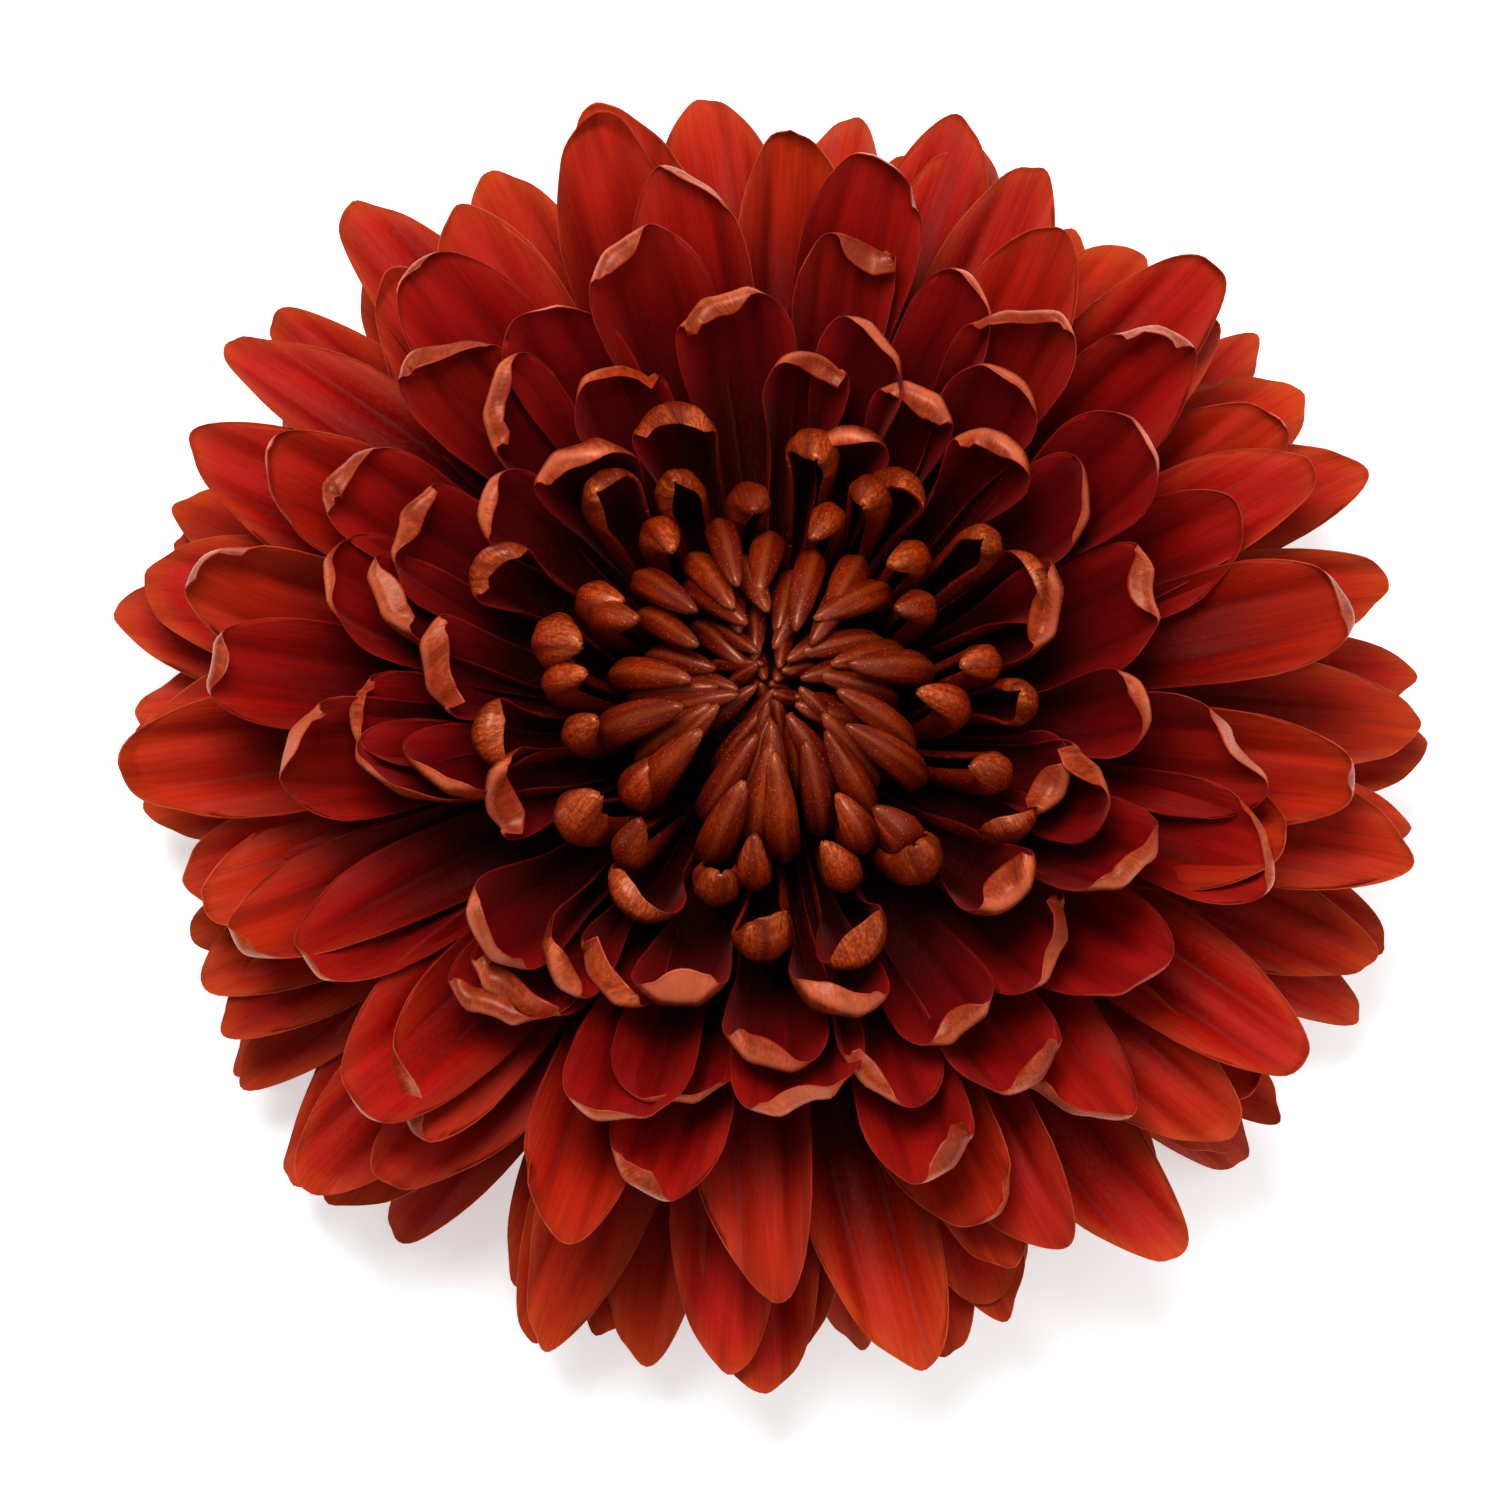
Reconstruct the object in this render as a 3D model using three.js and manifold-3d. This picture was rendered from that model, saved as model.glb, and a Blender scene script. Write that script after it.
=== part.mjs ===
// Disbud chrysanthemum: one large double bloom, cut close below the head and lying face up.
// Millimetres, +Z up. It rests on the tips of its three lowest florets, centred over the origin.

import * as THREE from 'three';
import { mergeVertices } from 'three/addons/utils/BufferGeometryUtils.js';
import Module from 'manifold-3d';

// Florets are ranked from the centre out, each turned by the golden angle from the one before.
// The lowest ones come last, and the bloom rests on them.
const CENTRAL_COUNT = 63;
const FLORET_COUNT = 280;
const RESTING_COUNT = 3;
const GOLDEN_ANGLE = Math.PI * (3 - Math.sqrt(5));

// A floret's form at a few ranks, in millimetres and degrees. The ranks between are blended.
// rise is the midrib's slope at its root and arch how far the slope turns on the way to the tip.
// hook is a further turn from hookStart, a share of the length, to the tip.
// lip is the turn of the tip's rolled edge, lipDepth long, over a bend of lipRadius.
// channel is how far each half of the blade curls up, and tipChannel the share of it left at the tip.
// claw is the width at the root, and widest, fullness and roundness shape the outline past it.
const FORM_RANKS = [0, 12, 28, 62, 63, 80, 100, 145, 165, 195, 235, 279];
const FORMS = {
  rootRadius: [2.4, 6.9, 9.5, 11.6, 11.5, 11.5, 11.5, 11.5, 11.5, 11.5, 11.5, 11.5],
  rootHeight: [38.2, 36.3, 31.8, 27.5, 26.5, 25.9, 25.2, 23.8, 23, 21.5, 20, 18.8],
  length: [7.2, 12, 19.5, 25.8, 22, 25.5, 30.5, 43, 48.5, 52.5, 54, 53.5],
  width: [4, 5.4, 7.2, 8.6, 8.6, 9.4, 11.8, 14, 14.8, 14.8, 14.2, 13.6],
  channel: [165, 165, 165, 165, 160, 140, 90, 58, 34, 22, 18, 18],
  tipChannel: [1, 1, 1, 1, 1, 0.9, 0.6, 0.4, 0.6, 0.8, 0.8, 0.8],
  rise: [84, 62, 40, 28, 40, 29, 14, 4, 6, 8, 4, -5],
  arch: [60, 112, 140, 140, 58, 62, 64, 50, 26, -8, -25, -27],
  hook: [0, 0, 0, 0, 78, 66, 40, 12, 8, 0, 0, 0],
  hookStart: [0.8, 0.8, 0.8, 0.8, 0.56, 0.62, 0.72, 0.8, 0.75, 0.7, 0.7, 0.7],
  lip: [0, 0, 0, 0, 0, 25, 120, 130, 90, 40, 0, 0],
  lipDepth: [2, 2, 2, 2, 2, 2.6, 3.8, 4.2, 3.6, 3, 2, 1.5],
  lipRadius: [1, 1, 1, 1, 1.8, 1.6, 1.4, 1.5, 1.8, 3, 3, 3],
  claw: [0.5, 0.5, 0.5, 0.5, 0.4, 0.38, 0.35, 0.3, 0.3, 0.3, 0.3, 0.3],
  widest: [0.45, 0.45, 0.5, 0.52, 0.64, 0.68, 0.74, 0.74, 0.72, 0.7, 0.68, 0.68],
  fullness: [1.5, 1.5, 1.5, 1.5, 2, 2, 2.3, 2.5, 2.5, 2.5, 2.4, 2.4],
  roundness: [1.2, 1.2, 1.2, 1.2, 1.6, 1.7, 2, 2, 1.95, 1.85, 1.8, 1.8],
};

// The most that chance turns, bends or stretches a floret away from its neighbours
const SPREADS = {
  azimuth: [14, 11, 8, 5, 5, 6, 6, 6, 6, 6, 6, 6],
  length: [0.05, 0.05, 0.06, 0.08, 0.1, 0.09, 0.08, 0.06, 0.06, 0.06, 0.05, 0.05],
  rise: [4, 4, 3, 2, 3, 3, 3, 3.5, 3.5, 3.5, 3, 2],
  arch: [8, 8, 7, 6, 8, 8, 10, 10, 10, 9, 7, 5],
  hook: [0, 0, 0, 0, 22, 20, 12, 5, 12, 22, 24, 16],
  twist: [8, 8, 10, 12, 25, 28, 34, 36, 34, 28, 22, 20],
  bend: [0.16, 0.12, 0.08, 0.07, 0.05, 0.05, 0.05, 0.06, 0.07, 0.08, 0.08, 0.08],
};
const WIDTH_SPREAD = 0.1;

// Each kind of chance has its own draw, so that one doesn't follow another
const DRAWS = { azimuth: 1, length: 2, width: 3, rise: 4, arch: 5, hook: 6, twist: 7, bend: 8 };
const RANK_PHASE = 12.9898;
const DRAW_PHASE = 78.233;
const WAVE_HEIGHT = 43758.5453;

// Shares of the length and of the width, then millimetres
const TIP_CHANNEL_FROM = 0.7;
const BLUNT_TIP = 0.35;
const MIDRIB_STEPS = 48;
const SPECK = 0.02;
const WELD = 1e-4;
const RAY_THICKNESS = 1.17;
const CENTRAL_THICKNESS = 0.6;
const RESTING_CLEARANCE = 0.5;

// Shares of the length at which a blade has a cross section, from inside the core to the tip.
// The ray florets change from quilled to cupped and from cupped to open at these ranks.
const CENTRAL_STATIONS = [0, 0.36, 0.7, 1];
const QUILLED_STATIONS = [0.3, 0.75, 0.9, 1];
const CUPPED_STATIONS = [0.48, 0.8, 0.91, 1];
const OPEN_STATIONS = [0.42, 0.72, 0.9, 1];
const FIRST_CUPPED_RANK = 100;
const FIRST_OPEN_RANK = 165;
const FIRST_KEELED_RANK = 185;

// Half outlines, radius and height, of the solid cores that the florets stand out of
const CORE_SIDES = 14;
const RAY_CORE = [
  [0, 17.3],
  [13, 17.3],
  [36, 13],
  [43, 24],
  [30, 34.5],
  [20, 32],
  [13, 26.8],
  [0, 26.8],
];
const CENTRAL_CORE = [
  [0, 27.2],
  [12, 27.2],
  [15.4, 32],
  [15.8, 38],
  [12.5, 43.4],
  [6, 45],
  [0, 43],
];

// The closed centre is parted from the ray florets along this half outline, half of the gap each way
const PARTING_GAP = 0.36;
const CENTRE_SPACE = [
  [0, 27],
  [12.6, 27],
  [18, 33],
  [18.6, 39],
  [18.6, 60],
  [0, 60],
];

// Between the cup's flat top and the ray florets' core
const INVOLUCRE_TOP = 16.95;
const INVOLUCRE_REACH = 15.4;
const SEAT_GAP = 0.35;

// The green cup under the head, with rows of overlapping bracts, lowest row first
const CUP = [
  [0, 9],
  [3.4, 9],
  [7, 10.4],
  [10.6, 13.4],
  [12, INVOLUCRE_TOP],
  [0, INVOLUCRE_TOP],
];
const CUP_SIDES = 22;
const BRACTS_A_ROW = 11;
const BRACT_ROWS = [
  { rootRadius: 3.6, rootHeight: 10, length: 8.5, width: 4.8, rise: 8, arch: 45 },
  { rootRadius: 5.6, rootHeight: 11, length: 8.6, width: 5.2, rise: 16, arch: 42 },
  { rootRadius: 7.6, rootHeight: 12.4, length: 7.8, width: 5.6, rise: 20, arch: 30 },
];
const BRACT_SHAPE = { channel: 30, tipChannel: 1, claw: 0.8, widest: 0.4, fullness: 1.5, roundness: 1.4 };
const BRACT_STATIONS = [0, 0.55, 1];
const BRACT_THICKNESS = 1.4;

const STEM_RADIUS = 2.9;
const STEM_GROOVE = 0.4;
const STEM_RIBS = 8;
const STEM_CUT_HEIGHT = 1;
const STEM_TOP = 8.65;

const { clamp, degToRad, lerp, smoothstep } = THREE.MathUtils;
const wasm = await Module();
wasm.setup();

// The same number on every run for one rank and one draw, between minus most and plus most
function chance(rank, draw, most) {
  const wave = Math.sin(rank * RANK_PHASE + draw * DRAW_PHASE) * WAVE_HEIGHT;
  return most * (2 * (wave - Math.floor(wave)) - 1);
}

function blendAt(rank, values) {
  const next = clamp(FORM_RANKS.findIndex((value) => value >= rank), 1, FORM_RANKS.length - 1);
  const [before, after] = [FORM_RANKS[next - 1], FORM_RANKS[next]];
  return lerp(values[next - 1], values[next], (rank - before) / (after - before));
}

function floretForm(rank) {
  const form = {};
  for (const [name, values] of Object.entries(FORMS)) {
    form[name] = blendAt(rank, values);
  }
  const stray = (name) => chance(rank, DRAWS[name], blendAt(rank, SPREADS[name]));
  form.azimuth = rank * GOLDEN_ANGLE + degToRad(stray('azimuth'));
  form.length *= 1 + stray('length');
  form.width *= 1 + chance(rank, DRAWS.width, WIDTH_SPREAD);
  form.rise += stray('rise');
  form.arch += stray('arch');
  form.hook += stray('hook');
  form.twist = stray('twist');
  form.bend = stray('bend');
  form.droop = 0;
  return form;
}

function bractForm(row, index) {
  const turn = (index + row / BRACT_ROWS.length) / BRACTS_A_ROW;
  const still = { hook: 0, hookStart: 0, lip: 0, lipDepth: 1, lipRadius: 1, twist: 0, bend: 0, droop: 0 };
  return { ...BRACT_ROWS[row], ...BRACT_SHAPE, ...still, azimuth: turn * 2 * Math.PI };
}

function slopeAt(form, share) {
  const hooked = smoothstep(share, form.hookStart, 1);
  const fold = 1 - form.lipDepth / form.length;
  const rolled = clamp((share - fold) * form.length / form.lipRadius, 0, degToRad(form.lip));
  return degToRad(form.rise + form.arch * share + form.hook * hooked) + rolled;
}

// Radius and height of the midrib, followed from its root
function midribAt(form, share) {
  let radius = form.rootRadius;
  let height = form.rootHeight;
  const step = share / MIDRIB_STEPS;
  for (let count = 0; count < MIDRIB_STEPS; count += 1) {
    const slope = slopeAt(form, (count + 0.5) * step);
    radius += Math.cos(slope) * step * form.length;
    height += Math.sin(slope) * step * form.length;
  }
  return [radius, height];
}

function halfWidthAt(form, share) {
  const half = form.width / 2;
  if (share < form.widest) {
    return half * lerp(form.claw, 1, Math.sin((Math.PI / 2) * (share / form.widest)));
  }
  const past = (share - form.widest) / (1 - form.widest);
  const rounded = (1 - past ** form.fullness) ** (1 / form.roundness);
  return half * Math.max(rounded, BLUNT_TIP);
}

// A point of the blade, given across it and up from its midrib
function bladePoint(form, share, across, up) {
  const [radius, height] = midribAt(form, share);
  const slope = slopeAt(form, share);
  const turn = degToRad(form.twist) * share ** 2;
  const side = across * Math.cos(turn) - up * Math.sin(turn);
  const lift = across * Math.sin(turn) + up * Math.cos(turn);
  const out = radius - lift * Math.sin(slope);
  const along = form.bend * form.length * share ** 2 + side;
  const z = height + lift * Math.cos(slope) - form.droop * share ** 2;
  const cosine = Math.cos(form.azimuth);
  const sine = Math.sin(form.azimuth);
  return [out * cosine - along * sine, out * sine + along * cosine, z];
}

// Corners of the blade's cross section: its left side, its top, its right side and its underside.
// A keeled one has no top corner.
function bladeSection(form, share, thickness, keeled) {
  const fade = smoothstep(share, TIP_CHANNEL_FROM, 1);
  const channel = degToRad(form.channel) * lerp(1, form.tipChannel, fade);
  const curl = halfWidthAt(form, share) / channel;
  const widest = Math.min(channel, Math.PI / 2);
  const across = curl * Math.sin(widest);
  const edge = curl * (1 - Math.cos(widest));
  const quilled = channel > Math.PI / 2;
  const top = quilled ? curl * (1 - Math.cos(channel)) : 0;
  const left = bladePoint(form, share, -across, edge);
  const middle = bladePoint(form, share, 0, Math.max(top, thickness / 2));
  const right = bladePoint(form, share, across, edge);
  const under = bladePoint(form, share, 0, -thickness / 2);
  return keeled ? [left, right, under] : [left, middle, right, under];
}

function blade(form, stations, thickness, keeled = false) {
  return loft(stations.map((share) => bladeSection(form, share, thickness, keeled)));
}

// Closed solid through sections that have the same number of corners
function loft(sections) {
  const sides = sections[0].length;
  const faces = [];
  for (let row = 0; row < sections.length - 1; row += 1) {
    for (let side = 0; side < sides; side += 1) {
      const here = row * sides + side;
      const next = row * sides + ((side + 1) % sides);
      faces.push(here, next + sides, next);
      faces.push(here, here + sides, next + sides);
    }
  }
  const last = (sections.length - 1) * sides;
  for (let side = 1; side < sides - 1; side += 1) {
    faces.push(0, side, side + 1);
    faces.push(last, last + side + 1, last + side);
  }
  const geometry = new THREE.BufferGeometry();
  geometry.setAttribute('position', new THREE.Float32BufferAttribute(sections.flat(2), 3));
  geometry.setIndex(faces);
  return toSolid(geometry);
}

// Solid of revolution about the flower's axis. A margin moves its side out and its bottom down.
function turned(outline, sides, margin = 0) {
  const bottom = Math.min(...outline.map(([, height]) => height));
  const points = outline.map(([radius, height]) => {
    const out = radius > 0 ? radius + margin : 0;
    return new THREE.Vector2(out, height === bottom ? height - margin : height);
  });
  const geometry = new THREE.LatheGeometry([...points, points[0]], sides);
  return toSolid(geometry.rotateX(Math.PI / 2));
}

function toSolid(geometry) {
  geometry.deleteAttribute('normal');
  geometry.deleteAttribute('uv');
  const merged = mergeVertices(geometry, WELD);
  const mesh = new wasm.Mesh({
    numProp: 3,
    vertProperties: merged.attributes.position.array,
    triVerts: Uint32Array.from(merged.index.array),
  });
  return new wasm.Manifold(mesh);
}

// One body, without the specks that joining leaves: edges shorter than a speck are closed up,
// a hollow that joining sealed is filled, and a loose scrap is dropped
function tidied(solid) {
  const bodies = solid.simplify(SPECK).decompose();
  return bodies.reduce((best, body) => (body.volume() > best.volume() ? body : best));
}

// The lowest florets droop until their tips meet the surface, and the others stay clear of it
function settle(form, rank) {
  const tip = bladeSection(form, 1, RAY_THICKNESS, false);
  const lowest = Math.min(...tip.map(([, , z]) => z));
  const resting = rank >= FLORET_COUNT - RESTING_COUNT;
  form.droop = resting ? lowest : Math.min(lowest - RESTING_CLEARANCE, 0);
}

function rayFlorets() {
  const solids = [turned(RAY_CORE, CORE_SIDES)];
  for (let rank = CENTRAL_COUNT; rank < FLORET_COUNT; rank += 1) {
    const form = floretForm(rank);
    settle(form, rank);
    const cupped = rank < FIRST_OPEN_RANK ? CUPPED_STATIONS : OPEN_STATIONS;
    const stations = rank < FIRST_CUPPED_RANK ? QUILLED_STATIONS : cupped;
    solids.push(blade(form, stations, RAY_THICKNESS, rank >= FIRST_KEELED_RANK));
  }
  const head = wasm.Manifold.union(solids);
  const centre = turned(CENTRE_SPACE, CORE_SIDES, PARTING_GAP / 2);
  const under = turned(involucreSpace(), CUP_SIDES, SEAT_GAP);
  return tidied(head.subtract(centre).subtract(under));
}

function centralFlorets() {
  const solids = [turned(CENTRAL_CORE, CORE_SIDES)];
  for (let rank = 0; rank < CENTRAL_COUNT; rank += 1) {
    solids.push(blade(floretForm(rank), CENTRAL_STATIONS, CENTRAL_THICKNESS, true));
  }
  const centre = wasm.Manifold.union(solids);
  return tidied(centre.intersect(turned(CENTRE_SPACE, CORE_SIDES, -PARTING_GAP / 2)));
}

function involucreSpace() {
  return [
    [0, STEM_TOP],
    [INVOLUCRE_REACH, STEM_TOP],
    [INVOLUCRE_REACH, INVOLUCRE_TOP],
    [0, INVOLUCRE_TOP],
  ];
}

function involucre() {
  const solids = [turned(CUP, CUP_SIDES)];
  for (let row = 0; row < BRACT_ROWS.length; row += 1) {
    for (let index = 0; index < BRACTS_A_ROW; index += 1) {
      solids.push(blade(bractForm(row, index), BRACT_STATIONS, BRACT_THICKNESS, true));
    }
  }
  return tidied(wasm.Manifold.union(solids).intersect(turned(involucreSpace(), CUP_SIDES)));
}

// Ribbed stalk, cut square just below the head
function stem() {
  const outline = new THREE.Shape();
  for (let corner = 0; corner < 2 * STEM_RIBS; corner += 1) {
    const radius = STEM_RADIUS - (corner % 2) * STEM_GROOVE;
    const angle = (Math.PI * corner) / STEM_RIBS;
    const place = [radius * Math.cos(angle), radius * Math.sin(angle)];
    if (corner === 0) {
      outline.moveTo(...place);
    } else {
      outline.lineTo(...place);
    }
  }
  const depth = STEM_TOP - STEM_CUT_HEIGHT;
  const geometry = new THREE.ExtrudeGeometry(outline, { depth, bevelEnabled: false });
  return toSolid(geometry.translate(0, 0, STEM_CUT_HEIGHT));
}

function toMesh(name, solid, colour, roughness) {
  const { vertProperties, triVerts } = solid.getMesh();
  const geometry = new THREE.BufferGeometry();
  geometry.setAttribute('position', new THREE.BufferAttribute(vertProperties, 3));
  geometry.setIndex(new THREE.BufferAttribute(triVerts, 1));
  geometry.computeVertexNormals();
  const material = new THREE.MeshStandardMaterial({ color: colour, roughness, metalness: 0 });
  const mesh = new THREE.Mesh(geometry, material);
  mesh.name = name;
  return mesh;
}

const flower = new THREE.Group();
flower.name = 'disbud_chrysanthemum';
flower.add(toMesh('stem', stem(), 0x6f8a45, 0.6));
flower.add(toMesh('involucre', involucre(), 0x5c7a38, 0.6));
flower.add(toMesh('ray_florets', rayFlorets(), 0x8a1a12, 0.55));
flower.add(toMesh('central_florets', centralFlorets(), 0x9a4a22, 0.55));

// The bloom isn't quite round, so it is moved to stand centred over the origin, its tips at zero
const extent = new THREE.Box3().setFromObject(flower, true);
const middle = extent.getCenter(new THREE.Vector3());
flower.position.set(-middle.x, -middle.y, -extent.min.z);
flower.updateMatrixWorld(true);

export default flower;
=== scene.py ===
"""Disbud chrysanthemum: one large double bloom in deep red and bronze, lying face up.

Every floret is a thin blade whose form follows from its rank, counted from the centre out.
Lengths are millimetres from the flower's axis until a mesh is made, and metres after that.
A share is a place along a blade, from 0 at its root to 1 at its tip, and v is a place across it,
from -1 to 1.
"""
import math

import bpy
import numpy as np
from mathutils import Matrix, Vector

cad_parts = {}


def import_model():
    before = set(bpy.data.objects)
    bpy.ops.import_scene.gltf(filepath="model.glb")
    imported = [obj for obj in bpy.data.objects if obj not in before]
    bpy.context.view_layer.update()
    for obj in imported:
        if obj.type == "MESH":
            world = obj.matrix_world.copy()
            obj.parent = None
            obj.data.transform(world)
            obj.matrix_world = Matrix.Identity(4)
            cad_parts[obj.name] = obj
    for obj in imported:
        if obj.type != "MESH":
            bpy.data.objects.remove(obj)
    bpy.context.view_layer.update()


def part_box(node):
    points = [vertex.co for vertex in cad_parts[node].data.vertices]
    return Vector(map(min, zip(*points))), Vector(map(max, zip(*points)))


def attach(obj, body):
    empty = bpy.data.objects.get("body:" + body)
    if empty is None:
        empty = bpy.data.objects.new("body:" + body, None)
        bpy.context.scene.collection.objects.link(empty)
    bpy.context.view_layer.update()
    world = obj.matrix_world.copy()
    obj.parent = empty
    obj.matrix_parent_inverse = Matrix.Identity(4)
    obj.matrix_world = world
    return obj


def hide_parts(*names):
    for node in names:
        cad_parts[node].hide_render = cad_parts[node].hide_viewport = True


MM = 0.001
GOLDEN_ANGLE = math.pi * (3 - math.sqrt(5))

# The ranks that each kind of floret starts from, and how many there are in all
CENTRAL_COUNT = 63
CUPPED_FROM = 100
OPEN_FROM = 165
SKIRT_FROM = 214
FLORET_COUNT = 280

# A floret's form at a few ranks. The ranks between are blended.
FORM_RANKS = [0, 12, 28, 62, 63, 80, 100, 145, 165, 195, 235, 279]
FORMS = {
    # where it grows from, its size, and how its midrib rises, arches and hooks over, in degrees
    "root_radius": [2.4, 6.9, 9.5, 12, 11.5, 11.5, 11.5, 11.5, 11.5, 11.5, 11.5, 11.5],
    "root_height": [37.7, 35.6, 31.2, 27.1, 26.5, 25.9, 25.2, 23.8, 23, 21.5, 20, 18.8],
    "length": [7.2, 12, 19.4, 26.2, 22, 25.5, 30.5, 43, 48.5, 52.5, 54, 53.5],
    "width": [3.9, 5.3, 7.6, 9.8, 9.6, 10.8, 12.4, 13.6, 14, 13.7, 13.1, 12.6],
    "rise": [84, 62, 40, 28, 40, 29, 14, 4, 6, 8, 4, -5],
    "arch": [60, 112, 140, 140, 58, 62, 64, 50, 26, -8, -25, -27],
    "hook": [0, 0, 0, 0, 78, 66, 40, 12, 8, 0, 0, 0],
    "hook_start": [0.8, 0.8, 0.8, 0.8, 0.56, 0.62, 0.72, 0.8, 0.75, 0.7, 0.7, 0.7],
    # how far each half curls up across the blade, in degrees, and the share of it left at the tip
    "channel": [165, 165, 165, 165, 165, 155, 112, 82, 58, 42, 34, 30],
    "tip_channel": [1, 1, 1, 1, 1, 0.95, 0.62, 0.5, 0.6, 0.8, 0.8, 0.8],
    # how far the blade closes to a point, as in the centre, where 0 is a whole outline
    "closed": [1, 1, 1, 1, 1, 0.9, 0, 0, 0, 0, 0, 0],
    # depth of the ribs along a closed one, as a part of its thickness
    "ribs": [0.05, 0.05, 0.05, 0.05, 0.03, 0.03, 0, 0, 0, 0, 0, 0],
    # outline: width at the root, the share where it is widest, and how full and round the tip is
    "claw": [0.5, 0.5, 0.4, 0.4, 0.4, 0.38, 0.35, 0.3, 0.3, 0.3, 0.3, 0.3],
    "widest": [0.6, 0.6, 0.62, 0.64, 0.64, 0.68, 0.74, 0.72, 0.7, 0.68, 0.66, 0.66],
    "fullness": [2.2, 2.2, 2.4, 2.4, 2.3, 2.1, 1.9, 1.95, 1.9, 1.8, 1.75, 1.7],
    "roundness": [1.4, 1.4, 1.5, 1.5, 1.6, 1.7, 1.9, 1.9, 1.8, 1.8, 1.8, 1.8],
    # the rolled lip at the tip: how deep it is, how far it rolls over, in degrees, and how tightly
    "lip_depth": [0, 0, 0, 0, 2, 2.4, 3.2, 3, 2.6, 2, 1.6, 1.5],
    "lip_angle": [0, 0, 0, 0, 0, 25, 120, 135, 105, 50, 0, 0],
    "lip_radius": [1, 1, 1, 1, 1.8, 1.5, 1.15, 1, 1, 1.5, 3, 3],
    # how deep the tip is notched
    "notch": [0, 0, 0, 0, 0, 0, 0, 0, 0, 0.2, 0.3, 0.3],
}

# The most that chance moves a floret's form away from the table, at the same ranks
SPREADS = {
    "azimuth": [14, 11, 8, 5, 6, 7, 8, 8, 8, 7, 6, 6],
    "twist": [8, 8, 10, 12, 25, 30, 38, 42, 40, 36, 30, 26],
    "bend": [0.16, 0.12, 0.08, 0.07, 0.05, 0.05, 0.05, 0.06, 0.07, 0.08, 0.08, 0.08],
    "length": [0.08, 0.08, 0.08, 0.08, 0.12, 0.12, 0.09, 0.08, 0.08, 0.07, 0.05, 0.05],
    "rise": [4, 4, 3, 2, 3, 4, 4, 4.5, 4.5, 4, 3, 2],
    "arch": [8, 8, 7, 6, 8, 9, 12, 12, 12, 10, 7, 5],
    "lip_middle": [0, 0, 0, 0, 0.1, 0.2, 0.35, 0.5, 0.55, 0.5, 0, 0],
    "channel": [0, 0, 0, 0, 0, 0.06, 0.16, 0.3, 0.4, 0.45, 0.5, 0.45],
    "hook": [0, 0, 0, 0, 22, 20, 12, 5, 12, 22, 24, 16],
}
# The same for all ranks
WIDTH_SPREAD = 0.1
LIP_DEPTH_SPREAD = 0.5
LIP_ANGLE_PART, LIP_ANGLE_SPREAD = 0.8, 0.4
LIP_SPAN, LIP_SPAN_SPREAD = 1.1, 0.35
LEAN_SPREAD = 0.26
APEX_SPREAD = 0.32

# A midrib is followed in steps, to a little past the tip
MIDRIB_STEPS = 240
MIDRIB_REACH = 1.1

# Across a blade: in radians, it is wholly open up to one channel and a tube from the other on.
# An open blade has two furrows and a wave along each half, and a closed one has ribs and a nib.
OPEN_CHANNEL, TUBE_CHANNEL = 0.6, 1.5
TIP_CHANNEL_FROM, TIP_CHANNEL_SPAN = 0.5, 0.4
FURROW_PLACE, FURROW_WIDTH, FURROW_DEPTH = 0.34, 0.15, 0.16
WAVE_TURN, WAVE_LAG, WAVE_DEPTH = 9, 1.3, 0.08
RIB_PITCH = 0.4
NIB_WIDTH = 0.06

# At the tip: its teeth and lobes, the least roll in radians that makes a lip, the least depth of
# a lip as a share, and the share of its length at which a blade without a lip counts as folded
TOOTH_WIDTH = 0.12
LOBE_DEPTH = 0.008
LEAST_ROLL = 0.02
LEAST_LIP = 0.005
PLAIN_FOLD = 0.74
# how much of the way from the midrib the fold's axes are taken, and how the roll varies across
ROLL_TURN = 0.45
SWAY_DEPTH, SWAY_TURN = 0.15, 0.45
# roll, in radians, and distance from the edge, in millimetres, that the colours take as full
FULL_ROLL = 2
FAR_FROM_EDGE = 9

# A blade is thinner at its edge, and grows to full thickness over this many millimetres
EDGE_THICKNESS = 0.3
EDGE_REACH = 2

# The last florets rest on the surface, and the others stay clear of it
RESTING_COUNT = 3
RESTING_HEIGHT = 0.3
RESTING_CLEARANCE = 0.5

# Outlines, radius and height, of what the florets hide: their heart, the green cup and the stalk
HEART = [
    (0, 36.4), (4, 35.8), (8, 33), (10.6, 29), (11.4, 25), (11.4, 20), (10.6, 17.4), (0, 17.4),
]
CUP = [(0, 16.9), (11.9, 16.9), (12, 16.4), (10.6, 13.4), (7, 10.4), (3.4, 9), (0, 9)]
STALK = [(0, 8.6), (2.5, 8.6), (2.85, 8.2), (2.85, 1.4), (2.6, 1.05), (0, 1.05)]
# Distance along the stalk's outline at which its ribs have ended
STALK_PATH = 13

# Three rows of bracts, lowest row first, with the same names as in FORMS
BRACTS_A_ROW = 11
BRACT_THICKNESS = 0.7
BRACT_LENGTH_SPREAD = 0.05
BRACT_ROWS = {
    "root_radius": [3.6, 5.6, 7.6],
    "root_height": [9.4, 10.6, 12.2],
    "length": [8.5, 8.4, 7.2],
    "width": [4.8, 5.2, 5.6],
    "rise": [8, 16, 20],
    "arch": [45, 42, 26],
}
BRACT_SHAPE = {
    "channel": 38, "tip_channel": 1, "claw": 0.8, "widest": 0.4, "fullness": 1.5, "roundness": 1.5,
    "hook": 0, "hook_start": 0.8, "closed": 0, "ribs": 0, "apex": 0, "notch": 0, "twist": 0,
    "bend": 0, "lean": 0, "droop": 0, "lip_depth": 0, "lip_angle": 0, "lip_radius": 1,
    "lip_middle": 0, "lip_span": 1,
}

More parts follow.
